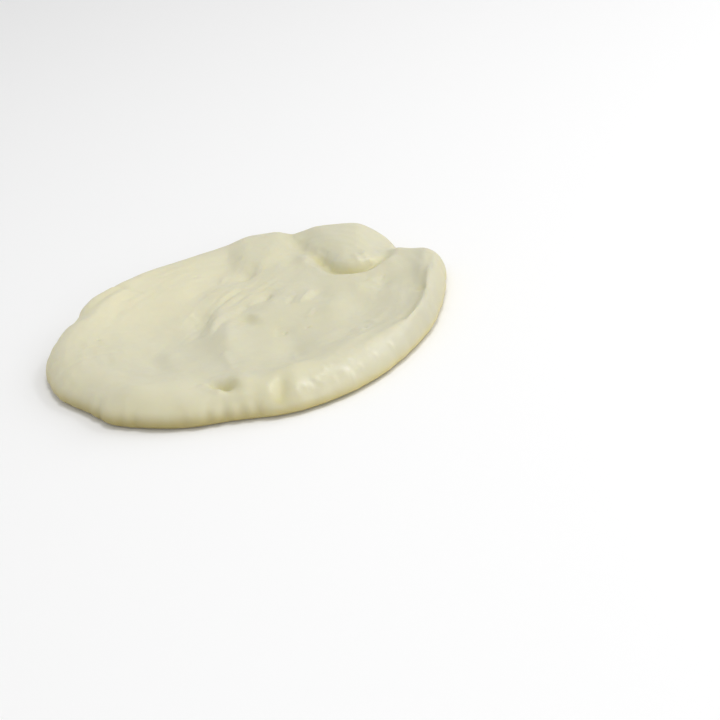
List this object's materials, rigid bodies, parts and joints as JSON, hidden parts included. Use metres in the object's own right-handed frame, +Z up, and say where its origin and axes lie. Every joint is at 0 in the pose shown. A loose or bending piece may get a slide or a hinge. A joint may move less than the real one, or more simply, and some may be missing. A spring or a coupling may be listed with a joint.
{
  "type": "queso de mano cheese round",
  "caption": "Round of soft white stretched-curd cheese, patted flat by hand, with a rolled uneven rim, a dished face, a blister and pressed dents.",
  "frame": {"origin": "middle of the flat underside, on the axis of the circle the round was patted to", "axes": "+Z up out of the cheese's face, +Y towards the back edge beside the blister, +X towards the right edge"},
  "size_m": [0.1637, 0.1615, 0.0155],
  "materials": {
    "curd": "moist soft satin, ivory cream"
  },
  "bodies": {
    "root": {"cheese_round": "curd"}
  },
  "joints": []
}
